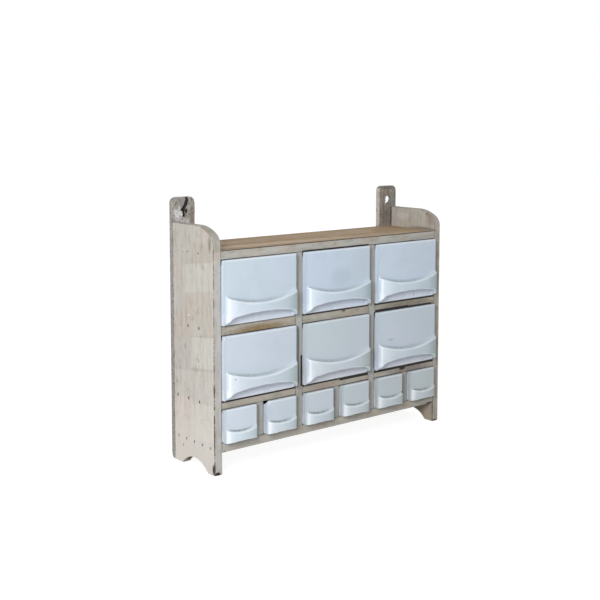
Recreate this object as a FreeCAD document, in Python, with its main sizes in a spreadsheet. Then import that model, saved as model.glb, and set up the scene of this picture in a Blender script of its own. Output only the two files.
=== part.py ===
import FreeCAD, Part

import os
from types import SimpleNamespace

import Sketcher
from FreeCAD import Vector

# A wall or table cabinet for spices: a nailed wooden carcass with twelve porcelain drawers.
# Millimetres, +Z up, +X to the right, the drawers pull out towards -Y.  The origin is on the
# floor, in the middle of the footprint.

DIMENSIONS = [
    # carcass
    ("overall_width", 600),
    ("side_depth", 139),
    ("side_height", 470),
    ("side_thickness", 17),
    ("board_thickness", 17.5),
    ("lower_shelf_thickness", 15),
    ("divider_thickness", 17.5),
    ("small_divider_thickness", 17.5),
    ("foot_rise", 42.5),
    ("small_opening_height", 65.5),
    ("large_opening_height", 125.5),
    ("halving_depth", 69.5),
    ("back_thickness", 6),
    # side boards: the worn-down top front corner and the arch between the feet
    ("corner_reach", 58),
    ("corner_drop", 34),
    ("corner_front_radius", 24),
    ("front_foot_length", 24),
    ("rear_foot_length", 29),
    ("arch_rise", 20),
    # hanging straps
    ("strap_height", 517.5),
    ("strap_width", 52),
    ("strap_thickness", 11),
    ("strap_corner_radius", 11),
    ("right_hole_radius", 8),
    ("right_hole_inset", 24.5),
    ("right_hole_drop", 30),
    ("right_second_hole_radius", 5.6),
    ("right_second_hole_shift", 3),
    ("right_second_hole_drop", 7.5),
    ("right_hole_bevel", 4),
    ("left_hole_radius", 4.5),
    ("left_hole_inset", 26),
    ("left_hole_drop", 34.7),
    ("tear_width", 7),
    ("tear_lean", 8.5),
    ("tear_depth", 8),
    # nails
    ("nail_width", 2.8),
    ("nail_mark_width", 3.6),
    ("nail_mark_depth", 0.8),
    ("side_nail_length", 40),
    ("back_nail_length", 22),
    ("strap_nail_length", 32),
    ("shelf_nail_first", 50),
    ("shelf_nail_pitch", 37.5),
    ("bottom_nail_first", 13.5),
    ("bottom_nail_pitch", 27.5),
    ("strap_nail_pitch", 130),
    ("back_nail_pitch", 310),
    # running clearances of the drawers
    ("side_clearance", 0.75),
    ("floor_clearance", 0.3),
    ("top_clearance", 0.4),
    # large porcelain drawer
    ("large_stand", 9),
    ("large_bin_depth", 128),
    ("large_rim_drop", 10),
    ("large_wall", 5),
    ("large_floor", 5),
    ("large_plate", 10),
    ("large_step_height", 45),
    ("large_step_reach", 4),
    ("large_rear_radius", 8),
    ("large_corner_radius", 2.5),
    ("large_edge_bevel", 1.6),
    ("large_crease_height", 40),
    ("large_crease_rise", 17.5),
    ("large_pull_inset", 1),
    ("large_cheek_run", 5),
    ("large_cheek_depth", 8),
    ("large_pull_reach", 11),
    ("large_cheek_radius", 6),
    ("large_ledge_bevel", 2),
    ("large_lip", 4.5),
    ("large_finger_setback", 1),
    ("large_finger_height", 34),
    ("large_arch_inset", 1.5),
    ("large_arch_height", 22),
    ("large_haunch_run", 23),
    ("large_haunch_rise", 17),
    ("large_haunch_radius", 33),
    # small porcelain drawer
    ("small_stand", 8.5),
    ("small_bin_depth", 128),
    ("small_rim_drop", 6),
    ("small_wall", 4.5),
    ("small_floor", 4.5),
    ("small_plate", 9.5),
    ("small_step_height", 25),
    ("small_step_reach", 4),
    ("small_rear_radius", 7),
    ("small_corner_radius", 1.6),
    ("small_edge_bevel", 1.1),
    ("small_crease_height", 20),
    ("small_crease_rise", 8),
    ("small_pull_inset", 1),
    ("small_cheek_run", 5),
    ("small_cheek_depth", 5.5),
    ("small_pull_reach", 8.5),
    ("small_cheek_radius", 7),
    ("small_ledge_bevel", 1.5),
    ("small_lip", 3.8),
    ("small_finger_setback", 1),
    ("small_finger_height", 15.5),
    ("small_arch_inset", 4),
    ("small_arch_height", 2.5),
    ("small_haunch_run", 9),
    ("small_haunch_rise", 1.5),
    ("small_haunch_radius", 20),
    ("toe_radius", 4),
]

COLUMNS = ("left", "middle", "right")
SIDE_NAILS = (5, 3, 2, 2)
STRAP_NAILS = 3
BACK_NAILS = 2
# The torn groove's two edges, as shares of its lean to the right and of its rise from the hole.
TEAR_RIGHT_EDGE = ((0.25, 0.28), (0.9, 0.54), (1.25, 0.73), (0.9, 1.1))
TEAR_LEFT_EDGE = ((0.9, 1.1), (0.9, 0.85), (0.5, 0.6), (-0.15, 0.34), (0.1, 0.19))

doc = FreeCAD.newDocument("SpiceDrawerCabinet")
sheet = doc.addObject("Spreadsheet::Sheet", "Dimensions")
for row, (alias, value) in enumerate(DIMENSIONS, start=1):
    sheet.set(f"A{row}", alias)
    sheet.set(f"B{row}", str(value))
    sheet.setAlias(f"B{row}", alias)
doc.recompute()


class Size:
    """A length, together with the spreadsheet expression that gives it."""

    def __init__(self, value, text):
        self.value = float(value)
        self.text = text

    def joined(self, sign, other, value):
        text = other.text if isinstance(other, Size) else str(other)
        return Size(value, f"({self.text} {sign} {text})")

    def __add__(self, other):
        return self.joined("+", other, self.value + number(other))

    def __sub__(self, other):
        return self.joined("-", other, self.value - number(other))

    def __mul__(self, other):
        return self.joined("*", other, self.value * number(other))

    def __truediv__(self, other):
        return self.joined("/", other, self.value / number(other))

    def __neg__(self):
        return Size(-self.value, f"(-1 * {self.text})")


def number(size):
    return size.value if isinstance(size, Size) else float(size)


def root(size):
    return Size(size.value ** 0.5, f"sqrt({size.text})")


def arc_radius(half_chord, rise):
    """Radius of the arc that rises this much over this half chord."""
    return (half_chord * half_chord + rise * rise) / (rise * 2)


ZERO = Size(0, "0")
dim = SimpleNamespace(**{alias: Size(value, f"Dimensions.{alias}") for alias, value in DIMENSIONS})

# Where things stand.  Widths from the middle, depths from the middle of the footprint.
right_face = dim.overall_width / 2
left_face = -right_face
total_depth = dim.large_stand + dim.large_pull_reach + dim.side_depth + dim.strap_thickness
front = dim.large_stand + dim.large_pull_reach - total_depth / 2
back = front + dim.side_depth
column_width = (dim.overall_width - dim.side_thickness * 2 - dim.divider_thickness * 2) / 3
column_pitch = column_width + dim.divider_thickness
small_width = (column_width - dim.small_divider_thickness) / 2
small_pitch = (small_width + dim.small_divider_thickness) / 2
bottom_top = dim.foot_rise + dim.board_thickness
lower_shelf_low = bottom_top + dim.small_opening_height
lower_shelf_top = lower_shelf_low + dim.lower_shelf_thickness
upper_shelf_low = lower_shelf_top + dim.large_opening_height
upper_shelf_top = upper_shelf_low + dim.board_thickness
top_board_low = upper_shelf_top + dim.large_opening_height
top_board_top = top_board_low + dim.board_thickness
column_centres = [-column_pitch, ZERO, column_pitch]
BOARD_SPANS = [
    (dim.foot_rise, bottom_top), (lower_shelf_low, lower_shelf_top),
    (upper_shelf_low, upper_shelf_top), (top_board_low, top_board_top),
]


def new_body(name):
    body = doc.addObject("PartDesign::Body", name)
    body.Label = name
    return body


def new_sketch(body, name, role, offset=ZERO):
    """An empty sketch on one of the body's origin planes, moved along the plane's normal."""
    plane = next(item for item in body.Origin.OriginFeatures if item.Role == role)
    flat = body.newObject("Sketcher::SketchObject", name)
    flat.AttachmentSupport = [(plane, "")]
    flat.MapMode = "FlatFace"
    flat.setExpression("AttachmentOffset.Base.z", offset.text)
    return flat


def pin_point(flat, index, place, across, up):
    """Dimension one point of a sketch from the sketch's origin."""
    for kind, axis, size in (("DistanceX", -2, across), ("DistanceY", -1, up)):
        if size is ZERO:
            flat.addConstraint(Sketcher.Constraint("PointOnObject", index, place, axis))
            continue
        row = flat.addConstraint(Sketcher.Constraint(kind, -1, 1, index, place, size.value))
        flat.setExpression(f"Constraints[{row}]", size.text)


def draw_outline(flat, corners, arcs=None):
    """Draw a closed outline; arcs maps a side's number to its radius, positive when it bends left."""
    arcs = arcs or {}
    points = [Vector(across.value, up.value, 0) for across, up in corners]
    sides = []
    for side, start in enumerate(points):
        end = points[(side + 1) % len(points)]
        if side in arcs:
            sides.append(flat.addGeometry(arc_between(start, end, arcs[side].value), False))
        else:
            sides.append(flat.addGeometry(Part.LineSegment(start, end), False))
    for side, (across, up) in enumerate(corners):
        start_place, end_place = (2, 1) if number(arcs.get(side, 0)) < 0 else (1, 2)
        following = (side + 1) % len(corners)
        next_place = 2 if number(arcs.get(following, 0)) < 0 else 1
        joint = Sketcher.Constraint("Coincident", sides[side], end_place, sides[following], next_place)
        flat.addConstraint(joint)
        pin_point(flat, sides[side], start_place, across, up)
        if side in arcs:
            radius = arcs[side] if arcs[side].value > 0 else -arcs[side]
            row = flat.addConstraint(Sketcher.Constraint("Radius", sides[side], radius.value))
            flat.setExpression(f"Constraints[{row}]", radius.text)


def arc_between(start, end, radius):
    """The short arc from start to end; it runs counter-clockwise for a positive radius."""
    chord = end - start
    left = Vector(-chord.y, chord.x, 0).normalize()
    sink = (radius ** 2 - (chord.Length / 2) ** 2) ** 0.5
    side = 1 if radius > 0 else -1
    centre = (start + end) * 0.5 + left * (sink * side)
    middle = centre - left * (abs(radius) * side)
    return Part.Arc(start, middle, end)


def draw_rectangle(flat, low_across, high_across, low_up, high_up):
    corners = [(low_across, low_up), (high_across, low_up), (high_across, high_up), (low_across, high_up)]
    draw_outline(flat, corners)


def draw_square(flat, across, up, width):
    draw_rectangle(flat, across - width / 2, across + width / 2, up - width / 2, up + width / 2)


def draw_circle(flat, across, up, radius):
    circle = Part.Circle(Vector(across.value, up.value, 0), Vector(0, 0, 1), radius.value)
    index = flat.addGeometry(circle, False)
    pin_point(flat, index, 3, across, up)
    row = flat.addConstraint(Sketcher.Constraint("Radius", index, radius.value))
    flat.setExpression(f"Constraints[{row}]", radius.text)


def pad(body, name, profile, length, backwards=False):
    feature = body.newObject("PartDesign::Pad", name)
    feature.Profile = profile
    feature.Reversed = backwards
    feature.setExpression("Length", length.text)
    doc.recompute()
    return feature


def pocket(body, name, profile, length=None, backwards=False):
    """Cut a profile away, to a depth or through all, and check that it does cut."""
    before = body.Shape.Volume
    feature = body.newObject("PartDesign::Pocket", name)
    feature.Profile = profile
    feature.Reversed = backwards
    if length is None:
        feature.Type = "ThroughAll"
    else:
        feature.setExpression("Length", length.text)
    doc.recompute()
    if body.Shape.Volume >= before:
        raise ValueError(f"{body.Label}: {name} cuts nothing")
    return feature


def picked_edges(body, is_wanted):
    """The names of the body's edges that pass a test."""
    edges = [f"Edge{i}" for i, edge in enumerate(body.Shape.Edges, start=1) if is_wanted(edge)]
    if not edges:
        raise ValueError(f"{body.Label} has no such edge")
    return edges


def fillet(body, name, radius, is_wanted):
    """Round the edges of the body that a test picks."""
    base, edges = body.Tip, picked_edges(body, is_wanted)
    feature = body.newObject("PartDesign::Fillet", name)
    feature.Base = (base, edges)
    feature.setExpression("Radius", radius.text)
    doc.recompute()
    return feature


def bevel(body, name, width, is_wanted):
    """Cut the edges of the body that a test picks at 45 degrees."""
    base, edges = body.Tip, picked_edges(body, is_wanted)
    feature = body.newObject("PartDesign::Chamfer", name)
    feature.Base = (base, edges)
    feature.setExpression("Size", width.text)
    doc.recompute()
    return feature


def lies_at(edge, axis, place):
    """Whether a whole edge lies in the plane where this coordinate has this value."""
    ends = (getattr(edge.BoundBox, axis + "Min"), getattr(edge.BoundBox, axis + "Max"))
    return all(abs(end - number(place)) < 1e-4 for end in ends)


def follows_crease(edge, bow_height, bow_radius, plate_face):
    """Whether an edge runs along the crease's curve, on the outside of the pull."""
    if edge.BoundBox.YMax > plate_face + 0.01 or edge.BoundBox.YLength < 0.01:
        return False
    start, end = edge.ParameterRange
    for share in (0, 0.5, 1):
        point = edge.valueAt(start + (end - start) * share)
        if abs(Vector(point.x, 0, point.z - bow_height).Length - bow_radius) > 0.01:
            return False
    return True


def is_upright(edge):
    return edge.BoundBox.XLength < 1e-4 and edge.BoundBox.YLength < 1e-4


# ---------------------------------------------------------------- side boards

def nail_places():
    """Depth and height of each nail in a side board, on the middle of the board it holds."""
    places = []
    for (low, high), count in zip(BOARD_SPANS, SIDE_NAILS):
        height = (low + high) / 2
        first, pitch = dim.shelf_nail_first, dim.shelf_nail_pitch
        if low is dim.foot_rise:
            first, pitch = dim.bottom_nail_first, dim.bottom_nail_pitch
        places += [(front + first + pitch * step, height) for step in range(count)]
    return places


def side_outline():
    """The side board seen from the left of the sketch: front, arched foot line, back, worn corner."""
    reach, drop, front_radius = dim.corner_reach, dim.corner_drop, dim.corner_front_radius
    run = reach - front_radius
    top_radius = (run * run + drop * drop - front_radius * front_radius) / ((drop - front_radius) * 2)
    share = top_radius / (top_radius - front_radius)
    seam_depth = front + reach - run * share
    seam_height = dim.side_height - top_radius + (top_radius - drop) * share
    arch_half = (dim.side_depth - dim.front_foot_length - dim.rear_foot_length) / 2
    corners = [
        (front, ZERO),
        (front + dim.front_foot_length, ZERO),
        (back - dim.rear_foot_length, ZERO),
        (back, ZERO),
        (back, dim.side_height),
        (front + reach, dim.side_height),
        (seam_depth, seam_height),
        (front, dim.side_height - drop),
    ]
    arcs = {1: -arc_radius(arch_half, dim.arch_rise), 5: top_radius, 6: front_radius}
    return corners, arcs


def make_side(name, outer_face, is_left):
    """A side board; its outer face carries the recesses that the nail heads sit in."""
    body = new_body(name)
    profile = new_sketch(body, name + "_profile", "YZ_Plane", outer_face)
    draw_outline(profile, *side_outline())
    pad(body, name + "_board", profile, dim.side_thickness, backwards=not is_left)
    recesses = new_sketch(body, name + "_nail_marks", "YZ_Plane", outer_face)
    for depth, height in nail_places():
        draw_square(recesses, depth, height, dim.nail_mark_width)
    pocket(body, name + "_recesses", recesses, dim.nail_mark_depth, backwards=is_left)
    return body


# ---------------------------------------------------------------- boards and dividers

def make_plain_board(name, level):
    """A board between the sides."""
    body = new_body(name)
    plan = new_sketch(body, name + "_plan", "XY_Plane", level)
    inside = right_face - dim.side_thickness
    draw_rectangle(plan, -inside, inside, front, back)
    pad(body, name + "_board", plan, dim.board_thickness)
    return body


def make_shelf(name, low, high):
    """A board between the sides, halved at the front over the two long dividers."""
    body = new_body(name)
    plan = new_sketch(body, name + "_plan", "XY_Plane", low)
    inside = right_face - dim.side_thickness
    near = column_width / 2
    far = near + dim.divider_thickness
    notch = front + dim.halving_depth
    corners = [(-inside, front)]
    for start, end in ((-far, -near), (near, far)):
        corners += [(start, front), (start, notch), (end, notch), (end, front)]
    corners += [(inside, front), (inside, back), (-inside, back)]
    draw_outline(plan, corners)
    pad(body, name + "_board", plan, high - low)
    return body


def make_long_divider(name, centre):
    """An upright from the bottom board to the top board, halved at the back over both shelves."""
    body = new_body(name)
    profile = new_sketch(body, name + "_profile", "YZ_Plane", centre - dim.divider_thickness / 2)
    notch = front + dim.halving_depth
    corners = [(front, bottom_top), (back, bottom_top)]
    for low, high in BOARD_SPANS[1:3]:
        corners += [(back, low), (notch, low), (notch, high), (back, high)]
    corners += [(back, top_board_low), (front, top_board_low)]
    draw_outline(profile, corners)
    pad(body, name + "_board", profile, dim.divider_thickness)
    return body


def make_small_divider(name, centre):
    body = new_body(name)
    low_face = centre - dim.small_divider_thickness / 2
    profile = new_sketch(body, name + "_profile", "YZ_Plane", low_face)
    draw_rectangle(profile, front, back, bottom_top, lower_shelf_low)
    pad(body, name + "_board", profile, dim.small_divider_thickness)
    return body


# ---------------------------------------------------------------- back panel and straps

def back_nail_places():
    """Place and height of each nail that holds the back panel to a board's back edge."""
    places = []
    for low, high in BOARD_SPANS:
        for step in range(BACK_NAILS):
            across = dim.back_nail_pitch * (step - (BACK_NAILS - 1) / 2)
            places.append((across, (low + high) / 2))
    return places


def strap_nail_places(hand):
    """Place and height of the nails that hold a strap to the back edge of its side board."""
    across = (right_face - dim.side_thickness / 2) * hand
    middle = dim.side_height / 2
    return [(across, middle + dim.strap_nail_pitch * (step - 1)) for step in range(STRAP_NAILS)]


def cut_back_recesses(body, places, face):
    """Sink the nail heads into a face that looks backwards."""
    marks = new_sketch(body, body.Label + "_nail_marks", "XZ_Plane", -face)
    for across, height in places:
        draw_square(marks, across, height, dim.nail_mark_width)
    pocket(body, body.Label + "_recesses", marks, dim.nail_mark_depth, backwards=True)


def make_back_panel():
    body = new_body("back_panel")
    face = new_sketch(body, "back_panel_face", "XZ_Plane", -back)
    half = right_face - dim.strap_width
    draw_rectangle(face, -half, half, dim.foot_rise, top_board_top)
    pad(body, "back_panel_board", face, dim.back_thickness, backwards=True)
    cut_back_recesses(body, back_nail_places(), back + dim.back_thickness)
    return body


def make_strap(name, hand):
    """An upright strap behind a side board; hand is -1 on the left and 1 on the right."""
    body = new_body(name)
    face = new_sketch(body, name + "_face", "XZ_Plane", -back)
    middle = (right_face - dim.strap_width / 2) * hand
    half, radius = dim.strap_width / 2, dim.strap_corner_radius
    top = dim.strap_height
    corners = [
        (middle - half, ZERO),
        (middle + half, ZERO),
        (middle + half, top - radius),
        (middle + half - radius, top),
        (middle - half + radius, top),
        (middle - half, top - radius),
    ]
    draw_outline(face, corners, {2: radius, 4: radius})
    pad(body, name + "_board", face, dim.strap_thickness, backwards=True)
    cut_back_recesses(body, strap_nail_places(hand), back + dim.strap_thickness)
    return body


def cut_right_holes(body):
    """The hanging hole, bevelled at the back and drilled twice, so that two holes meet."""
    hole_across = right_face - dim.right_hole_inset
    hole_height = dim.strap_height - dim.right_hole_drop
    hole = new_sketch(body, "right_hole", "XZ_Plane", -back)
    draw_circle(hole, hole_across, hole_height, dim.right_hole_radius)
    pocket(body, "right_hole_cut", hole)
    rim = back + dim.strap_thickness
    bevel(body, "right_hole_bevel", dim.right_hole_bevel,
          lambda edge: lies_at(edge, "Y", rim) and isinstance(edge.Curve, Part.Circle)
          and abs(edge.Curve.Radius - number(dim.right_hole_radius)) < 1e-4)
    second = new_sketch(body, "right_second_hole", "XZ_Plane", -back)
    second_across = hole_across - dim.right_second_hole_shift
    second_height = hole_height - dim.right_second_hole_drop
    draw_circle(second, second_across, second_height, dim.right_second_hole_radius)
    pocket(body, "right_second_hole_cut", second)


def cut_left_holes(body):
    """The hanging hole, with the groove above it where the wood has torn away to the top."""
    hole_across = left_face + dim.left_hole_inset
    hole_height = dim.strap_height - dim.left_hole_drop
    hole = new_sketch(body, "left_hole", "XZ_Plane", -back)
    draw_circle(hole, hole_across, hole_height, dim.left_hole_radius)
    pocket(body, "left_hole_cut", hole)
    half = dim.tear_width / 2
    corners = [(hole_across - half, hole_height), (hole_across + half, hole_height)]
    for lean, rise in TEAR_RIGHT_EDGE:
        corners.append((hole_across + half + dim.tear_lean * lean, hole_height + dim.left_hole_drop * rise))
    for lean, rise in TEAR_LEFT_EDGE:
        corners.append((hole_across - half + dim.tear_lean * lean, hole_height + dim.left_hole_drop * rise))
    tear = new_sketch(body, "left_tear", "XZ_Plane", -back)
    draw_outline(tear, corners)
    pocket(body, "left_tear_cut", tear, dim.tear_depth)


# ---------------------------------------------------------------- nails

def make_nail(name, low_corner, spans):
    """A square-shanked cut nail."""
    nail = doc.addObject("Part::Box", name)
    for side, span in zip(("Length", "Width", "Height"), spans):
        nail.setExpression(side, span.text)
    for axis, place in zip("xyz", low_corner):
        nail.setExpression("Placement.Base." + axis, place.text)
    return nail


def make_nail_group(name, nails):
    group = doc.addObject("Part::Compound", name)
    group.Label = name
    group.Links = nails
    return group


def make_side_nails(name, hand):
    """Nails driven through a side board into the ends of the four boards."""
    width, length = dim.nail_width, dim.side_nail_length
    head = right_face - dim.nail_mark_depth
    low_end = head - length if hand > 0 else -head
    nails = []
    for index, (depth, height) in enumerate(nail_places()):
        low_corner = (low_end, depth - width / 2, height - width / 2)
        nails.append(make_nail(f"{name}_{index}", low_corner, (length, width, width)))
    return make_nail_group(name, nails)


def make_back_nails(name, places, face, length):
    """Nails driven forwards from a face that looks backwards."""
    width = dim.nail_width
    tip = face - dim.nail_mark_depth - length
    nails = []
    for index, (across, height) in enumerate(places):
        low_corner = (across - width / 2, tip, height - width / 2)
        nails.append(make_nail(f"{name}_{index}", low_corner, (width, length, width)))
    return make_nail_group(name, nails)


# ---------------------------------------------------------------- porcelain drawers

def make_drawer_form(prefix, opening_width, opening_height):
    """The moulded drawer: bin, raised front with a curved crease, and a hollow lip to pull by.

    It is drawn in its own frame: middle of the width, front edge of the shelves, underside.
    """
    size = SimpleNamespace(**{word: getattr(dim, f"{prefix}_{word}") for word in DRAWER_WORDS})
    half = opening_width / 2 - dim.side_clearance
    height = opening_height - dim.floor_clearance - dim.top_clearance
    bin_height = height - size.rim_drop
    plate_back = size.plate - size.stand
    body = new_body(prefix + "_drawer_form")

    corner, rear = size.corner_radius, size.rear_radius
    bin_plan = new_sketch(body, prefix + "_bin_plan", "XY_Plane")
    draw_outline(bin_plan, [
        (-half, plate_back), (half, plate_back), (half, size.bin_depth - rear),
        (half - rear, size.bin_depth), (rear - half, size.bin_depth),
        (-half, size.bin_depth - rear)], {2: rear, 4: rear})
    pad(body, prefix + "_bin", bin_plan, bin_height)

    plate_face = new_sketch(body, prefix + "_plate_face", "XZ_Plane", size.stand)
    draw_outline(plate_face, [
        (corner - half, ZERO), (half - corner, ZERO), (half, corner), (half, height - corner),
        (half - corner, height), (corner - half, height), (-half, height - corner),
        (-half, corner)], {1: corner, 3: corner, 5: corner, 7: corner})
    pad(body, prefix + "_plate_pad", plate_face, size.plate, backwards=True)
    bevel(body, prefix + "_plate_edge", size.edge_bevel,
          lambda edge: lies_at(edge, "Y", -size.stand))

    inside = half - size.wall
    step_back = plate_back + size.step_reach
    inner_radius = rear - size.wall
    bin_back = size.bin_depth - size.wall
    hollow = new_sketch(body, prefix + "_hollow_plan", "XY_Plane", bin_height)
    draw_outline(hollow, [
        (-inside, step_back), (inside, step_back), (inside, bin_back - inner_radius),
        (inside - inner_radius, bin_back), (inner_radius - inside, bin_back),
        (-inside, bin_back - inner_radius)], {2: inner_radius, 4: inner_radius})
    pocket(body, prefix + "_hollow", hollow, bin_height - size.floor)
    upper = new_sketch(body, prefix + "_upper_hollow_plan", "XY_Plane", bin_height)
    draw_rectangle(upper, -inside, inside, plate_back, step_back)
    pocket(body, prefix + "_upper_hollow", upper, bin_height - size.step_height)

    add_pull(body, prefix, size, half)
    return body


def pull_outline(half, seat, size, inset, skin):
    """Plan of the pull: two steep cheeks and a shallow bow, set in from the outside by a skin."""
    foot = half - inset - skin
    shoulder = foot - size.cheek_run
    half_chord = half - inset - size.cheek_run
    bow = arc_radius(half_chord, size.pull_reach - size.cheek_depth)
    bow_centre = bow - size.stand - size.pull_reach
    inner_bow = bow - skin
    shoulder_depth = bow_centre - root(inner_bow * inner_bow - shoulder * shoulder)
    corners = [(-foot, seat), (-shoulder, shoulder_depth), (shoulder, shoulder_depth), (foot, seat)]
    return corners, {1: inner_bow}


def add_pull(body, prefix, size, half):
    """The bowed apron below the crease, hollow behind its lip and arched underneath."""
    crease_end = size.crease_height + size.crease_rise
    seat = size.plate / 2 - size.stand
    pull_plan = new_sketch(body, prefix + "_pull_plan", "XY_Plane")
    corners, arcs = pull_outline(half, seat, size, size.pull_inset, ZERO)
    draw_outline(pull_plan, corners, arcs)
    pad(body, prefix + "_pull", pull_plan, crease_end)
    shoulder = number(corners[2][0])
    fillet(body, prefix + "_cheeks", size.cheek_radius,
           lambda edge: is_upright(edge) and abs(abs(edge.BoundBox.XMin) - shoulder) < 1e-3)

    crease = new_sketch(body, prefix + "_crease_face", "XZ_Plane", size.stand)
    crease_bow = arc_radius(half, size.crease_rise)
    lid = crease_end + size.crease_rise
    draw_outline(crease, [(-half, crease_end), (half, crease_end), (half, lid), (-half, lid)],
                 {0: crease_bow})
    pocket(body, prefix + "_crease", crease, backwards=True)
    bow_height = number(size.crease_height + crease_bow)
    bevel(body, prefix + "_ledge", size.ledge_bevel,
          lambda edge: follows_crease(edge, bow_height, number(crease_bow), -number(size.stand)))

    arch = new_sketch(body, prefix + "_arch_face", "XZ_Plane", size.finger_setback)
    spring = half - size.arch_inset
    crown = spring - size.haunch_run
    crown_bow = arc_radius(crown, size.arch_height - size.haunch_rise)
    draw_outline(arch, [
        (-spring, -size.arch_height), (spring, -size.arch_height), (spring, ZERO),
        (crown, size.haunch_rise), (-crown, size.haunch_rise), (-spring, ZERO)],
        {2: size.haunch_radius, 3: crown_bow, 4: size.haunch_radius})
    pocket(body, prefix + "_arch", arch, backwards=True)

    finger = new_sketch(body, prefix + "_finger_plan", "XY_Plane")
    draw_outline(finger, *pull_outline(half, -size.finger_setback, size, size.pull_inset, size.lip))
    pocket(body, prefix + "_finger_hollow", finger, size.finger_height, backwards=True)


def round_toes(body, half):
    """Round the two long edges under a drawer, through the pull as well."""
    toe = dim.toe_radius
    for name, corners, arc_side in (
            ("right_toe", [(half - toe, ZERO), (half, ZERO), (half, toe)], 2),
            ("left_toe", [(-half, ZERO), (toe - half, ZERO), (-half, toe)], 1)):
        corner = new_sketch(body, name, "XZ_Plane", -dim.small_bin_depth)
        draw_outline(corner, corners, {arc_side: -toe})
        pocket(body, name + "_cut", corner, backwards=True)


DRAWER_WORDS = [alias.split("_", 1)[1] for alias, _ in DIMENSIONS if alias.startswith("large_")
                and alias != "large_opening_height"]


def place_drawer(name, form, across, level):
    """One drawer in its opening, a copy of the moulded form."""
    body = new_body(name)
    copy = doc.addObject("PartDesign::FeatureBase", name + "_copy")
    copy.BaseFeature = form
    body.Group = [copy]
    body.Tip = copy
    body.setExpression("Placement.Base.x", across.text)
    body.setExpression("Placement.Base.y", front.text)
    body.setExpression("Placement.Base.z", (level + dim.floor_clearance).text)
    return body


# ---------------------------------------------------------------- the assembly

nodes = [
    make_side("left_side", left_face, True),
    make_side("right_side", right_face, False),
    make_plain_board("bottom_board", dim.foot_rise),
    make_shelf("lower_shelf", lower_shelf_low, lower_shelf_top),
    make_shelf("upper_shelf", upper_shelf_low, upper_shelf_top),
    make_plain_board("top_board", top_board_low),
    make_long_divider("divider_left", -column_pitch / 2),
    make_long_divider("divider_right", column_pitch / 2),
    make_back_panel(),
]
for column, centre in zip(COLUMNS, column_centres):
    nodes.append(make_small_divider(f"small_divider_{column}", centre))

left_strap = make_strap("hanging_strap_left", -1)
cut_left_holes(left_strap)
right_strap = make_strap("hanging_strap_right", 1)
cut_right_holes(right_strap)
nodes += [left_strap, right_strap]

strap_places = strap_nail_places(-1) + strap_nail_places(1)
panel_face = back + dim.back_thickness
strap_face = back + dim.strap_thickness
nodes += [
    make_side_nails("side_nails_left", -1),
    make_side_nails("side_nails_right", 1),
    make_back_nails("strap_nails", strap_places, strap_face, dim.strap_nail_length),
    make_back_nails("back_nails", back_nail_places(), panel_face, dim.back_nail_length),
]

large_form = make_drawer_form("large", column_width, dim.large_opening_height)
small_form = make_drawer_form("small", small_width, dim.small_opening_height)
round_toes(small_form, small_width / 2 - dim.side_clearance)
for row_name, level in (("upper", upper_shelf_top), ("lower", lower_shelf_top)):
    for column, centre in zip(COLUMNS, column_centres):
        nodes.append(place_drawer(f"{row_name}_drawer_{column}", large_form, centre, level))
for index, centre in enumerate(column_centres):
    for side in (0, 1):
        across = centre + small_pitch * (side * 2 - 1)
        name = f"small_drawer_{index * 2 + side + 1}"
        nodes.append(place_drawer(name, small_form, across, bottom_top))

doc.recompute()

# ---------------------------------------------------------------- checks and export

for item in doc.Objects:
    if "Invalid" in item.State or "Error" in item.State:
        raise ValueError(f"{item.Label} did not compute: {item.State}")
for node in nodes:
    if node.Shape.isNull() or not node.Shape.isValid():
        raise ValueError(f"{node.Label} has no valid shape")

os.makedirs("parts", exist_ok=True)
for node in nodes:
    node.Shape.exportStep(f"parts/{node.Label}.step")
print(len(nodes), "sub-parts written")
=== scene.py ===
import math
from functools import reduce
from operator import mul

import bmesh
import bpy
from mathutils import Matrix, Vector, noise
from mathutils.kdtree import KDTree


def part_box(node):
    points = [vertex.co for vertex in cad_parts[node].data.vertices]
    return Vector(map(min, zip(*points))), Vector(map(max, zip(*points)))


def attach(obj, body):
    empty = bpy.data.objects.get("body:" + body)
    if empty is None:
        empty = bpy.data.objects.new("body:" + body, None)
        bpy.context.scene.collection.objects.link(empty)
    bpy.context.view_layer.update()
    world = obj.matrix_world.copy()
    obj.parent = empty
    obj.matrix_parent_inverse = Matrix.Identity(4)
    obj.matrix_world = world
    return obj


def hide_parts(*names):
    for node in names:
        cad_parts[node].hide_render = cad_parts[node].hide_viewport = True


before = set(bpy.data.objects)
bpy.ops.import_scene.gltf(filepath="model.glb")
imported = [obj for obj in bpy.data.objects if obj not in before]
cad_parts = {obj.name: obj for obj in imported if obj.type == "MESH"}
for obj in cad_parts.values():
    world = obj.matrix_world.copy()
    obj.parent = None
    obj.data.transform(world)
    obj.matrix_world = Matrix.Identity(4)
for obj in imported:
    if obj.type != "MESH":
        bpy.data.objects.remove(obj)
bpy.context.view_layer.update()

# Metres, in the cabinet's own frame: the drawers pull out towards -Y and the floor is at Z 0.

# ---------------------------------------------------------------- building a finish

EVEN = (1, 1, 1)
# The sockets that a Mix node uses for colours.
MIX_SHARE, MIX_FIRST, MIX_SECOND, MIXED_COLOUR = 0, 6, 7, 2


class Value:
    """An output in a node tree; arithmetic on it adds Math nodes."""

    def __init__(self, tree, socket):
        self.tree = tree
        self.socket = socket

    def math(self, operation, other):
        return self.tree.add("Math", {"operation": operation}, {0: self, 1: other})

    def __add__(self, other):
        return self.math("ADD", other)

    __radd__ = __add__

    def __mul__(self, other):
        return self.math("MULTIPLY", other)

    __rmul__ = __mul__

    def larger(self, other):
        return self.math("MAXIMUM", other)


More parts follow.
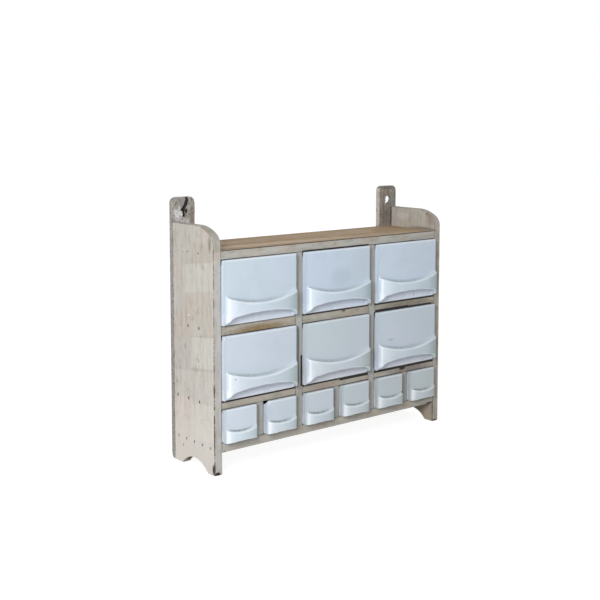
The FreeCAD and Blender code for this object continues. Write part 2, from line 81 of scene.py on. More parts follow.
class Tree:
    """The nodes of a material or of the room."""

    def __init__(self, node_tree):
        self.nodes = node_tree.nodes
        self.links = node_tree.links

    def add(self, kind, settings, values, output=0):
        """Add a node, with its settings first, and return one of its outputs."""
        node = self.nodes.new("ShaderNode" + kind)
        for name, setting in settings.items():
            setattr(node, name, setting)
        for name, value in values.items():
            self.join(node.inputs[name], value)
        return Value(self, node.outputs[output])

    def join(self, socket, value):
        if isinstance(value, Value):
            self.links.new(value.socket, socket)
        else:
            socket.default_value = value


class Finish(Tree):
    """A material built up from patterns on the piece's own coordinates."""

    def __init__(self, name):
        self.material = bpy.data.materials.new(name)
        self.material.use_nodes = True
        super().__init__(self.material.node_tree)
        self.shader = self.nodes["Principled BSDF"]
        self.place = self.add("TexCoord", {}, {}, "Object")

    def feed(self, name, value):
        self.join(self.shader.inputs[name], value)

    def colour(self, value):
        self.feed("Base Color", value)

    def mix(self, share, first, second, blend="MIX"):
        settings = {"data_type": "RGBA", "blend_type": blend}
        values = {MIX_SHARE: share, MIX_FIRST: first, MIX_SECOND: second}
        return self.add("Mix", settings, values, MIXED_COLOUR)

    def darken(self, share, colour, shade):
        return self.mix(share, colour, shade, "MULTIPLY")

    def band(self, value, low, high, start=0.0, end=1.0):
        """Go smoothly from start to end as the value goes from low to high."""
        settings = {"interpolation_type": "SMOOTHSTEP"}
        values = {"Value": value, "From Min": low, "From Max": high, "To Min": start, "To Max": end}
        return self.add("MapRange", settings, values)

    def fall(self, value, low, high):
        """Fall smoothly from 1 to 0 as the value goes from low to high."""
        return self.band(value, low, high, 1.0, 0.0)

    def from_edge(self, value, edge, distances, start=0.0, end=1.0):
        """A band between two distances from an edge."""
        return self.band(value, *(edge + distance for distance in distances), start, end)

    def along(self, axis):
        """How far along an axis."""
        return self.add("SeparateXYZ", {}, {"Vector": self.place}, axis)

    def stored(self, name):
        """A number that the mesh keeps at its vertices."""
        return self.add("Attribute", {"attribute_name": name}, {}, "Fac")

    def cloud(self, scale, seed, stretch=EVEN, detail=3.0):
        """Soft noise, drawn out along an axis whose stretch is small."""
        spread = self.add("Mapping", {}, {"Vector": self.place, "Scale": stretch})
        settings = {"noise_dimensions": "4D"}
        values = {"Vector": spread, "W": seed, "Scale": scale, "Detail": detail}
        return self.add("TexNoise", settings, values)

    def specks(self, scale, core, reach, share):
        """Scattered specks, each fading from its core to its reach, in cells of 1 / scale."""
        away = self.add("TexVoronoi", {}, {"Vector": self.place, "Scale": scale}, "Distance")
        return self.band(away, core, reach, share, 0.0)

    def spot(self, centre, reach, core):
        """A soft spot, 1 in its core and 0 beyond its reach on each axis."""
        shrink = [1 / size for size in reach]
        shift = [-place * scale for place, scale in zip(centre, shrink)]
        near = self.add("Mapping", {}, {"Vector": self.place, "Scale": shrink, "Location": shift})
        away = self.add("VectorMath", {"operation": "LENGTH"}, {0: near}, "Value")
        return self.fall(away, core, 1.0)

    def patch(self, low, high, blur, lean=0.0):
        """1 between the corners low and high, as soft as blur, rising by lean towards -Y."""
        parts = {axis: self.along(axis) for axis in "XYZ"}
        if lean:
            parts["Z"] = parts["Z"] + parts["Y"] * lean
        shares = []
        for part, start, end in zip(parts.values(), low, high):
            shares.append(self.band(part, start - blur, start + blur))
            shares.append(self.fall(part, end - blur, end + blur))
        return reduce(mul, shares)

    def relief(self, height, depth):
        self.feed("Normal", self.add("Bump", {}, {"Height": height, "Distance": depth}))


def tint(red, green, blue):
    """A colour from display values of 0 to 255."""
    levels = [level / 255 for level in (red, green, blue)]
    return (*(level / 12.92 if level < 0.04 else ((level + 0.055) / 1.055) ** 2.4
              for level in levels), 1)


def shaded(tone, red, green, blue):
    """The tone with something added to each of its three parts."""
    return tint(tone[0] + red, tone[1] + green, tone[2] + blue)


# ---------------------------------------------------------------- camera, light and floor

CAMERA_PLACE = Vector((-1.3940, -1.6709, 0.6701))
CAMERA_YAW = math.radians(38.98)
CAMERA_DOWN = math.radians(5.585)
CAMERA_SENSOR = 36
CAMERA_LENS = 63.67
CAMERA_SHIFT = -0.13
WHITE = (1, 1, 1, 1)
ROOM_LIGHT = 0.42
WINDOW_PLACE = Vector((-2.0, -1.45, 1.3))
WINDOW_AIM = Vector((0, 0, 0.25))
WINDOW_SIZE = 1.0
WINDOW_POWER = 55
FLOOR_SIZE = 12
PAPER = (0.8, 0.8, 0.8, 1)
# What the camera sees of the paper: mostly its own glow, so that only a pale shadow is left.
SEEN_PAPER = (0.15, 0.15, 0.15, 1)
SEEN_GLOW = (0.91, 0.91, 0.91, 1)
NO_GLOW = (0, 0, 0, 1)


def place_camera():
    camera = bpy.data.objects.new("camera", bpy.data.cameras.new("camera"))
    bpy.context.scene.collection.objects.link(camera)
    camera.data.sensor_width = CAMERA_SENSOR
    camera.data.lens = CAMERA_LENS
    camera.data.shift_y = CAMERA_SHIFT
    camera.location = CAMERA_PLACE
    camera.rotation_euler = (math.radians(90) - CAMERA_DOWN, 0, -CAMERA_YAW)
    bpy.context.scene.camera = camera
    bpy.context.scene.view_settings.view_transform = "Standard"


def hang_window():
    """One large soft light from the left."""
    window = bpy.data.objects.new("window_left", bpy.data.lights.new("window_left", "AREA"))
    bpy.context.scene.collection.objects.link(window)
    window.data.shape = "DISK"
    window.data.size = WINDOW_SIZE
    window.data.energy = WINDOW_POWER
    window.location = WINDOW_PLACE
    window.rotation_euler = (WINDOW_AIM - WINDOW_PLACE).to_track_quat("-Z", "Y").to_euler()


def paint_room():
    """A room that is white to look at and lights the cabinet softly."""
    room = bpy.data.worlds.new("room")
    bpy.context.scene.world = room
    room.use_nodes = True
    tree = Tree(room.node_tree)
    looks = tree.add("LightPath", {}, {}, "Is Camera Ray")
    for ray in ("Is Glossy Ray", "Is Transmission Ray"):
        looks = looks.larger(tree.add("LightPath", {}, {}, ray))
    strength = {"Factor": looks, "A": ROOM_LIGHT, "B": 1.0}
    background = tree.nodes["Background"].inputs
    tree.join(background["Strength"], tree.add("Mix", {"data_type": "FLOAT"}, strength, "Result"))
    tree.join(background["Color"], WHITE)


def lay_floor():
    """A white paper floor, which keeps a pale shadow."""
    bpy.ops.mesh.primitive_plane_add(size=FLOOR_SIZE, location=(0, 0, 0))
    floor = bpy.context.object
    floor.name = "floor"
    paper = Finish("floor_paper")
    seen = paper.add("LightPath", {}, {}, "Is Camera Ray")
    paper.colour(paper.mix(seen, PAPER, SEEN_PAPER))
    paper.feed("Roughness", 0.9)
    paper.feed("Emission Color", paper.mix(seen, NO_GLOW, SEEN_GLOW))
    paper.feed("Emission Strength", 1.0)
    floor.data.materials.append(paper.material)


# ---------------------------------------------------------------- limewash, pine and iron

# A cloud's scale is in waves per metre and its values lie around 0.5; a band picks how much of it
# shows. Each pattern of a board has a seed of its own.

RUST = tint(72, 52, 42)
DARK_DIRT = tint(66, 56, 48)
GREY_DIRT = tint(122, 115, 106)
BARE_WOOD = tint(152, 128, 98)
EDGE_WOOD = tint(78, 64, 52)
# Painted shadow where drawers meet boards; also one worn dark arris.
GAP_SHADOW_AND_ARRIS_DARK = tint(30, 26, 24)
# Painted shadow inside chips, nail holes, hanging holes and the tear.
HOLE_SHADOW = tint(24, 15, 11)
SCUFF_DARK = tint(70, 58, 50)
GRAIN_SHADE = (0.80, 0.77, 0.72, 1)
WEATHER_SHADE = (0.52, 0.49, 0.45, 1)
FIBRE_SHADE = (0.78, 0.76, 0.73, 1)
MOTTLE_SHADE = (0.33, 0.31, 0.30, 1)
PINE_FIBRE_SHADE = (0.7, 0.66, 0.6, 1)
# What is added to a board's tone.
THICK_WASH = (24, 24, 24)
THIN_WASH = (2, -7, -11)
# What is added to the tone of an oiled crown, along its light, bold and fine streaks.
CROWN_LIGHT = (4, 5, 6)
CROWN_BOLD = (-32, -38, -46)
CROWN_FINE = (-42, -48, -54)

ALONG_X, ALONG_Z = 0, 2
# The pattern's stretch along the grain for fine grain and for weathering.
GRAIN_STRETCH = 0.05
WEATHER_STRETCH = 0.3

# How soft the outlines of marks are. The joints of glued blocks also rise to the front.
BLOCK_BLUR = 0.0015
BLOCK_LEAN = 0.13
GAP_BLUR = 0.0004
SCUFF_BLUR = 0.0007
WASH_BLUR = (0.0, 0.005)
CROWN_BLUR = (-0.0014, -0.0002)

WOOD_RELIEF = 0.0006
RUST_RELIEF = 0.0002


def drawn_out(grain, share):
    """The stretch of a pattern that runs along the grain."""
    stretch = [1.0, 1.0, 1.0]
    stretch[grain] = share
    return stretch


def oiled_crown(finish, colour, streaks, grain, seed, height, shade):
    """The board's top face, above height, where use has left oiled wood."""
    bold = finish.band(finish.cloud(34, seed + 23, drawn_out(grain, GRAIN_STRETCH)), 0.42, 0.6)
    oiled = finish.mix(bold * 0.85, shaded(shade, *CROWN_LIGHT), shaded(shade, *CROWN_BOLD))
    oiled = finish.mix(finish.band(streaks, 0.4, 0.66), oiled, shaded(shade, *CROWN_FINE))
    on_top = finish.from_edge(finish.along("Z"), height, CROWN_BLUR)
    return finish.mix(on_top, colour, oiled)


def marked(finish, colour, marks, seed, blotches, crumbs):
    """The marks of one board: spots, mottling, painted shadow where drawers meet it along with a
    worn dark arris, and scuffs, with ragged outlines.
    """
    ragged = finish.band(crumbs, 0.3, 0.55, 0.6, 1.0)
    for centre, reach, shade, strength in marks.get("spots", ()):
        colour = finish.mix(finish.spot(centre, reach, 0.3) * ragged * strength, colour, shade)
    if "mottling" in marks:
        mottled = finish.band(finish.cloud(190, seed + 31, detail=4.0), 0.53, 0.62)
        colour = finish.darken(mottled * marks["mottling"], colour, MOTTLE_SHADE)
    broken = finish.band(blotches * 0.5 + crumbs * 0.5, 0.42, 0.56, 0.1, 1.0)
    for kind, blur, outline, shade in (
        ("gap_shadows_and_arrises", GAP_BLUR, ragged, GAP_SHADOW_AND_ARRIS_DARK),
        ("scuffs", SCUFF_BLUR, broken, SCUFF_DARK),
    ):
        for low, high, strength in marks.get(kind, ()):
            share = finish.patch(low, high, blur) * outline * strength
            colour = finish.mix(share, colour, shade)
    return colour


def limewashed(name, tone, grain, seed, wear, marks, crown):
    """Old limewashed board: pale wash over wood, grain, patches, dirt and rubbed edges, with
    painted shadow in its chips and where drawers meet it.
    """
    finish = Finish(name)
    streaks = finish.cloud(90, seed, drawn_out(grain, GRAIN_STRETCH), 5.0)
    fibres = finish.cloud(650, seed + 3, drawn_out(grain, GRAIN_STRETCH), 2.0)
    weather = finish.cloud(130, seed + 29, drawn_out(grain, WEATHER_STRETCH), 6.0)
    patches = finish.cloud(17, seed + 7, detail=2.0)
    blotches = finish.cloud(55, seed + 11, detail=6.0)
    crumbs = finish.cloud(240, seed + 19)
    thick_wash = shaded(tone, *THICK_WASH)

    thin = finish.band(patches, 0.48, 0.62) * 0.6
    colour = finish.mix(thin, tint(*tone), shaded(tone, *THIN_WASH))
    for low, high, shade, strength in marks.get("blocks", ()):
        block = finish.patch(low, high, BLOCK_BLUR, BLOCK_LEAN)
        colour = finish.mix(block * strength, colour, shade)
    colour = finish.darken(finish.band(streaks, 0.42, 0.7) * 0.5, colour, GRAIN_SHADE)
    colour = finish.darken(finish.band(weather, 0.5, 0.66) * wear, colour, WEATHER_SHADE)
    colour = finish.mix(finish.fall(weather, 0.3, 0.44) * wear, colour, thick_wash)
    if crown:
        colour = oiled_crown(finish, colour, streaks, grain, seed, *crown)
    colour = finish.mix(finish.band(blotches, 0.62 - wear * 0.12, 0.82) * wear, colour, BARE_WOOD)
    dirt = finish.band(blotches * 0.55 + streaks * 0.15 + crumbs * 0.3, 0.54, 0.66)
    colour = finish.mix(dirt * 0.4, colour, GREY_DIRT)
    colour = finish.darken(finish.band(fibres, 0.35, 0.65, 0.0, 0.25), colour, FIBRE_SHADE)
    colour = finish.mix(finish.band(crumbs, 0.6, 0.74) * 0.4, colour, thick_wash)
    rare = finish.band(finish.cloud(24, seed + 17), 0.56, 0.62)
    colour = finish.mix(finish.specks(60.0, 0.05, 0.11, 0.55) * rare, colour, DARK_DIRT)
    colour = marked(finish, colour, marks, seed, blotches, crumbs)
    gone = finish.stored("rubbed") * finish.band(blotches, 0.38, 0.56, 0.3, 1.1) * (1.2 - wear)
    colour = finish.mix(gone, colour, EDGE_WOOD)
    # Painted shadow in a chip or notch.
    for centre, reach in marks.get("holes", ()):
        colour = finish.mix(finish.spot(centre, reach, 0.5), colour, HOLE_SHADOW)
    finish.colour(colour)
    finish.feed("Roughness", finish.band(blotches, 0.3, 0.7, 0.62, 0.82))
    finish.relief(streaks * 0.6 + fibres * 0.4 + blotches * 0.5 + crumbs * 0.3, WOOD_RELIEF)
    return finish.material


def bare_boards(name):
    """Unpainted pine of the back, gone brown and dusty."""
    finish = Finish(name)
    rings = finish.cloud(70, 4.0, drawn_out(ALONG_X, GRAIN_STRETCH), 5.0)
    fibres = finish.cloud(520, 9.0, drawn_out(ALONG_X, GRAIN_STRETCH), 2.0)
    dust = finish.cloud(16, 2.0, detail=4.0)
    colour = finish.mix(finish.band(rings, 0.35, 0.68), tint(176, 148, 112), tint(128, 98, 70))
    colour = finish.mix(finish.band(dust, 0.5, 0.7) * 0.5, colour, tint(140, 126, 108))
    colour = finish.darken(finish.band(fibres, 0.35, 0.65, 0.0, 0.4), colour, PINE_FIBRE_SHADE)
    finish.colour(colour)
    finish.feed("Roughness", 0.8)
    finish.relief(rings * 0.6 + fibres * 0.4, WOOD_RELIEF)
    return finish.material


def rusty_iron(name, washed_above=None):
    """Rusted nail heads; those above a height are under the wash."""
    finish = Finish(name)
    rust = finish.cloud(900, 1.0, detail=4.0)
    colour = finish.mix(finish.band(rust, 0.4, 0.6), tint(44, 36, 32), tint(92, 62, 44))
    if washed_above:
        under_wash = finish.from_edge(finish.along("Z"), washed_above, WASH_BLUR)
        colour = finish.mix(under_wash, colour, tint(178, 174, 167))
    finish.colour(colour)
    finish.feed("Roughness", 0.7)
    finish.feed("Metallic", finish.band(rust, 0.4, 0.6, 0.7, 0.0))
    finish.relief(rust, RUST_RELIEF)
    return finish.material


# ---------------------------------------------------------------- glaze

# Where a drawer's tones change, measured from its lowest, foremost, left and right edges.
HOLLOW_TOP = (0.018, 0.026)
LIP_DEPTH = (0.0035, 0.0065)
CHEEK_DEPTH = (0.012, 0.016)
CHEEK_WIDTH = (0.0022, 0.0042)
CORNER_WIDTH = (0.004, 0.009)
RIM_WIDTH = (-0.0062, -0.0026)
# The same for the pull and its crease, as shares of the drawer's width.
PULL_LEFT_END = 0.3
PULL_RIGHT_END = 0.22
CREASE_START, CREASE_FULL = 0.05, 0.25
CREASE_FADES, CREASE_END = 0.5, 0.05
# How much the glaze bends in a crease, where shade is painted, and outwards over an edge, where a
# highlight is painted.
CREASE_BEND = (0.01, 0.08)
EDGE_BEND = (-0.07, -0.02)
GLAZE_RELIEF = 0.0009

# What is added to the glaze's tone: thick glaze, mist and pits are the glaze's own, the rest is
# painted light and shade.
THICK_GLAZE = (-4, -1, -6)
FAR_SIDE_PAINTED_SHADE = (-9, -10, -14)
HOLLOW_PAINTED_LIGHT = (17, 13, 11)
PULL_LEFT_SHEEN = (26, 24, 18)
PULL_MIDDLE = (2, 3, 0)
PULL_RIGHT_SHADE = (-13, -11, -18)
PULL_TIP_SHADE = (-44, -38, -52)
CHEEK_PAINTED_SHADE = (-26, -27, -29)
MIST_SHADE = (-12, -10, -9)
EDGE_HIGHLIGHT = tint(240, 245, 250)
PIT_DARK = tint(112, 104, 96)


def glazed(name, tone, box, seed, crease, rim, spots):
    """Bluish white glaze with painted light and shade: a painted sheen on the pull's left end,
    painted shade on its right end, on the far side, the left edge, the crease and the right rim,
    painted light in the hollow and painted highlights on edges.
    """
    finish = Finish(name)
    (left, front, foot), (right, _, _) = box
    width = right - left
    across, ahead, upward = (finish.along(axis) for axis in "XYZ")
    pools = finish.cloud(9, seed, detail=2.0)
    mist = finish.cloud(34, seed + 5)
    wave = finish.cloud(22, seed + 9, detail=1.0)
    bend = finish.stored("bend")

    colour = finish.mix(finish.band(pools, 0.4, 0.6), tint(*tone), shaded(tone, *THICK_GLAZE))
    # Painted shade: the glaze grows darker towards the drawer's right side.
    colour = finish.mix(finish.band(across, left, right) * 0.5, colour, shaded(tone, *FAR_SIDE_PAINTED_SHADE))
    # Painted light in the hollow under the pull, which lies in shade.
    hollow_light_share = finish.from_edge(upward, foot, HOLLOW_TOP, 1.0, 0.0)
    colour = finish.mix(hollow_light_share, colour, shaded(tone, *HOLLOW_PAINTED_LIGHT))

    # The pull: a painted sheen on its left end, fading to painted shade towards and at its right
    # end.
    left_end = left + PULL_LEFT_END * width
    right_end = right - PULL_RIGHT_END * width
    toward_middle = finish.band(across, left, left_end)
    pull = finish.mix(toward_middle, shaded(tone, *PULL_LEFT_SHEEN), shaded(tone, *PULL_MIDDLE))
    pull = finish.mix(finish.band(across, left_end, right), pull, shaded(tone, *PULL_RIGHT_SHADE))
    pull = finish.mix(finish.band(across, right_end, right), pull, shaded(tone, *PULL_TIP_SHADE))
    colour = finish.mix(finish.from_edge(ahead, front, LIP_DEPTH, 1.0, 0.0), colour, pull)

    # Painted shade on the plate's rounded left edge, to quiet the light there.
    cheek_shade_share = finish.from_edge(across, left, CHEEK_WIDTH, 1.0, 0.0)
    cheek_shade_share = cheek_shade_share * finish.from_edge(ahead, front, CHEEK_DEPTH, 1.0, 0.2)
    colour = finish.mix(cheek_shade_share, colour, shaded(tone, *CHEEK_PAINTED_SHADE))
    colour = finish.mix(finish.band(mist, 0.5, 0.7) * 0.4, colour, shaded(tone, *MIST_SHADE))

    # Painted shade in the crease, fading towards both ends.
    crease_start, crease_full = left + CREASE_START * width, left + CREASE_FULL * width
    crease_fades, crease_end = left + CREASE_FADES * width, right - CREASE_END * width
    seen = finish.band(across, crease_fades, crease_end, 1.0, 0.1)
    seen = seen * finish.band(across, crease_start, crease_full, 0.3, 1.0)
    colour = finish.mix(finish.band(bend, *CREASE_BEND) * seen, colour, tint(*crease))
    # A painted highlight on outward edges, away from the left corner.
    past_corner = finish.from_edge(across, left, CORNER_WIDTH)
    painted_highlight = finish.band(bend, *EDGE_BEND, 0.35, 0.0) * past_corner
    colour = finish.mix(painted_highlight, colour, EDGE_HIGHLIGHT)
    # Painted shade on the plate's right rim.
    rim_shade_share = finish.from_edge(across, right, RIM_WIDTH)
    colour = finish.mix(rim_shade_share * 0.85, colour, tint(*rim))

    rare = finish.band(finish.cloud(30, seed + 13), 0.6, 0.66)
    colour = finish.mix(finish.specks(75.0, 0.03, 0.06, 0.6) * rare, colour, PIT_DARK)
    for centre, reach, shade, strength in spots:
        colour = finish.mix(finish.spot(centre, reach, 0.35) * strength, colour, shade)
    finish.colour(colour)
    finish.feed("Roughness", finish.band(mist, 0.35, 0.7, 0.1, 0.22))
    finish.relief(wave, GLAZE_RELIEF)
    return finish.material


# ---------------------------------------------------------------- shaping

MERGE_DISTANCE = 1e-6
FLAT_ANGLE = math.radians(0.5)


def merged_copy(node):
    """A node's own shape, with its triangles joined into whole faces."""
    mesh = bmesh.new()
    mesh.from_mesh(bpy.data.objects[node].data)
    bmesh.ops.remove_doubles(mesh, verts=mesh.verts, dist=MERGE_DISTANCE)
    bmesh.ops.dissolve_limit(mesh, angle_limit=FLAT_ANGLE, verts=mesh.verts, edges=mesh.edges)
    return mesh


def finished_piece(name, mesh, finish):
    for face in mesh.faces:
        face.smooth = True
    mesh.normal_update()
    data = bpy.data.meshes.new(name)
    mesh.to_mesh(data)
    mesh.free()
    data.materials.append(finish)
    piece = bpy.data.objects.new(name, data)
    bpy.context.scene.collection.objects.link(piece)
    piece.modifiers.new("even_shading", "WEIGHTED_NORMAL")
    return piece


# ---------------------------------------------------------------- worn boards

ARRIS_ANGLE = math.radians(20)
ARRIS_STEP = 0.007
ARRIS_ROUND = 0.0009
# Smaller faces than this belong to the marks that nail heads sit in.
NAIL_MARK_FACE = 14e-6
# The arrises are rubbed by fine and by coarse wear: how dense each is and how much it takes away.
FINE_WEAR, FINE_LOSS = 70, 0.55
COARSE_WEAR, COARSE_LOSS, COARSE_START = 24, 0.9, 0.1


def arrises(mesh, spared):
    """The outer edges of a board, without those around its nail heads and in what is spared."""
    found = []
    for edge in mesh.edges:
        if len(edge.link_faces) != 2 or edge.calc_face_angle(0) < ARRIS_ANGLE:
            continue
        if min(face.calc_area() for face in edge.link_faces) < NAIL_MARK_FACE:
            continue
        middle = (edge.verts[0].co + edge.verts[1].co) / 2
        if any((middle - centre).length < reach for centre, reach in spared):
            continue
        found.append(edge)
    return found


def split_in_steps(edge):
    """Split an arris into steps, so that its wear can vary along it."""
    start = edge.verts[0]
    for left in range(int(edge.calc_length() / ARRIS_STEP), 0, -1):
        start = bmesh.utils.edge_split(edge, start, 1 / (left + 1))[1]


def places_of(edges):
    """The ends of the edges as they are now, to be found again by nearness."""
    ends = {vertex for edge in edges for vertex in edge.verts}
    places = KDTree(len(ends))
    for vertex in ends:
        places.insert(vertex.co, 0)
    places.balance()
    return places


def lost_at(corner, seed, dents):
    """How far the wood is rubbed away at a place, where 1 is an even rounding."""
    fine = noise.noise(corner * FINE_WEAR + Vector((seed, 0, 0)))
    coarse = noise.noise(corner * COARSE_WEAR + Vector((0, seed, 0)))
    loss = 1.0 + FINE_LOSS * fine + COARSE_LOSS * max(coarse - COARSE_START, 0)
    for centre, reach, amount in dents:
        loss += amount * max(1 - (corner - centre).length / reach, 0)
    return loss


def worn_board(node, finish, seed, dents=(), spared=()):
    """A board whose arrises are rounded and rubbed away unevenly."""
    mesh = merged_copy(node)
    for edge in arrises(mesh, spared):
        split_in_steps(edge)
    edges = arrises(mesh, spared)
    corners = places_of(edges)
    made = bmesh.ops.bevel(mesh, geom=edges, offset=ARRIS_ROUND, offset_type="OFFSET", segments=2,
                           profile=0.5, affect="EDGES", material=-1, clamp_overlap=False)
    rounding = set(made["faces"])
    rubbed = mesh.verts.layers.float.new("rubbed")
    for vertex in {vertex for face in rounding for vertex in face.verts}:
        corner = corners.find(vertex.co)[0]
        vertex.co = corner + (vertex.co - corner) * lost_at(corner, seed, dents)
        vertex[rubbed] = float(all(face in rounding for face in vertex.link_faces))
    piece = finished_piece(node + "_board", mesh, finish)
    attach(piece, "carcass")
    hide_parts(node)


# ---------------------------------------------------------------- porcelain drawers

# How finely the glaze follows the clay, and how much it is softened.
GLAZE_STEP = {"large": 0.0016, "small": 0.0013}
GLAZE_PASSES = 3
GLAZE_SOFTNESS = 0.5
GLAZE_FLAT_ANGLE = math.radians(0.2)
BEND_PASSES = 2


def chip_corner(mesh, point, direction):
    """Break off what lies beyond a plane and close the break."""
    everything = mesh.verts[:] + mesh.edges[:] + mesh.faces[:]
    cut = bmesh.ops.bisect_plane(mesh, geom=everything, plane_co=point, plane_no=direction,
                                 clear_outer=True)
    rim = [item for item in cut["geom_cut"] if isinstance(item, bmesh.types.BMEdge)]
    bmesh.ops.holes_fill(mesh, edges=rim, sides=0)


def glaze_over(mesh, step):
    """The mesh cast anew in steps of one size; the old mesh is freed."""
    data = bpy.data.meshes.new("cast")
    mesh.to_mesh(data)
    mesh.free()
    cast = bpy.data.objects.new("cast", data)
    bpy.context.scene.collection.objects.link(cast)
    remesh = cast.modifiers.new("cast", "REMESH")
    remesh.mode = "VOXEL"
    remesh.voxel_size = step
    remesh.adaptivity = 0.0
    evaluated = cast.evaluated_get(bpy.context.evaluated_depsgraph_get())
    form = bmesh.new()
    form.from_mesh(evaluated.to_mesh())
    evaluated.to_mesh_clear()
    bpy.data.objects.remove(cast)
    return form


def store_bend(form, step):
    """Keep at each vertex how hollow the glaze is there, evened over its neighbours."""
    bend = form.verts.layers.float.new("bend")
    for vertex in form.verts:
        around = [edge.other_vert(vertex).co for edge in vertex.link_edges]
        middle = sum(around, Vector()) / len(around)
        vertex[bend] = (middle - vertex.co).dot(vertex.normal) / step
    for _ in range(BEND_PASSES):
        evened = []
        for vertex in form.verts:
            around = [edge.other_vert(vertex)[bend] for edge in vertex.link_edges]
            evened.append(sum(around) / len(around))
        for vertex, value in zip(form.verts, evened):
            vertex[bend] = value


def cast_form(node, size, chip=None):
    """A drawer's shape with its edges softened as glaze does; chip breaks a corner off."""
    mesh = merged_copy(node)
    if chip:
        chip_corner(mesh, *chip)
    form = glaze_over(mesh, GLAZE_STEP[size])
    for _ in range(GLAZE_PASSES):
        bmesh.ops.smooth_vert(form, verts=form.verts, factor=GLAZE_SOFTNESS,
                              use_axis_x=True, use_axis_y=True, use_axis_z=True)
    form.normal_update()
    store_bend(form, GLAZE_STEP[size])
    bmesh.ops.dissolve_limit(form, angle_limit=GLAZE_FLAT_ANGLE, verts=form.verts, edges=form.edges)
    return form


def place_drawer(node, form, form_node, finish):
    """Put a copy of a form, cast from form_node, in the place of a drawer."""
    mesh = form.copy()
    shift = Vector(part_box(node)[0]) - Vector(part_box(form_node)[0])
    bmesh.ops.translate(mesh, verts=mesh.verts, vec=shift)
    piece = finished_piece(node + "_porcelain", mesh, finish)
    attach(piece, node)
    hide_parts(node)


# ---------------------------------------------------------------- what marks the boards

SIDE_TONE = (181, 177, 171)
RAIL_TONE = (170, 166, 156)
POST_TONE = (168, 169, 166)
WHITE_WASH = tint(208, 208, 210)
# Painted light on the right strap's left face, which faces the window.
PAINTED_LIGHT_SIDE = tint(182, 178, 172)
FOOT_DARK = tint(50, 42, 38)

# Faces of the boards, and the skins just inside them that marks reach to.
FAR = 1
LEFT_FACE, LEFT_SKIN = -0.3, -0.2985
FRONT, FRONT_SKIN = -0.065, -0.063
LEFT_INNER, RIGHT_INNER = -0.283, 0.283
STRAP_FRONT = 0.074
# The openings between the sides and the dividers, and heights just above the shelves.
LEFT_COLUMN = (LEFT_INNER, -0.106)
MIDDLE_COLUMN = (-0.0885, 0.0885)
RIGHT_COLUMN = (0.106, RIGHT_INNER)
OVER_LOWER_SHELF = 0.1415
OVER_UPPER_SHELF = 0.2845


def gap_shadow_and_arris(left, right, low, high, strength):
    """A dark line on the front edges of the boards: painted shadow where a drawer meets a board,
    and under the top face a worn dark arris.
    """
    return (left, -FAR, low), (right, FRONT_SKIN, high), strength


# Rust around the nails of the left side: the height of a row, then depth and strength of each.
NAIL_SPREAD = (0.004, 0.0032, 0.0045)
NAIL_STAINS = (
    (0.0513, ((-0.0515, 0.6), (-0.024, 0.6), (0.0035, 0.6), (0.031, 0.6), (0.0585, 0.6))),
    (0.133, ((-0.015, 1.1), (0.0225, 0.9), (0.06, 0.6))),
    (0.2748, ((-0.015, 1.0), (0.0225, 1.0))),
)
# The tear above the left hole, from the top down, painted dark as the shadow in it.
TEAR = ((-0.264, 0.511), (-0.265, 0.502), (-0.270, 0.494), (-0.273, 0.487), (-0.2745, 0.481))
TEAR_DEPTH = 0.083
TEAR_SPREAD = (0.0085, 0.0075, 0.0085)
TEAR_STRENGTH = 2.5
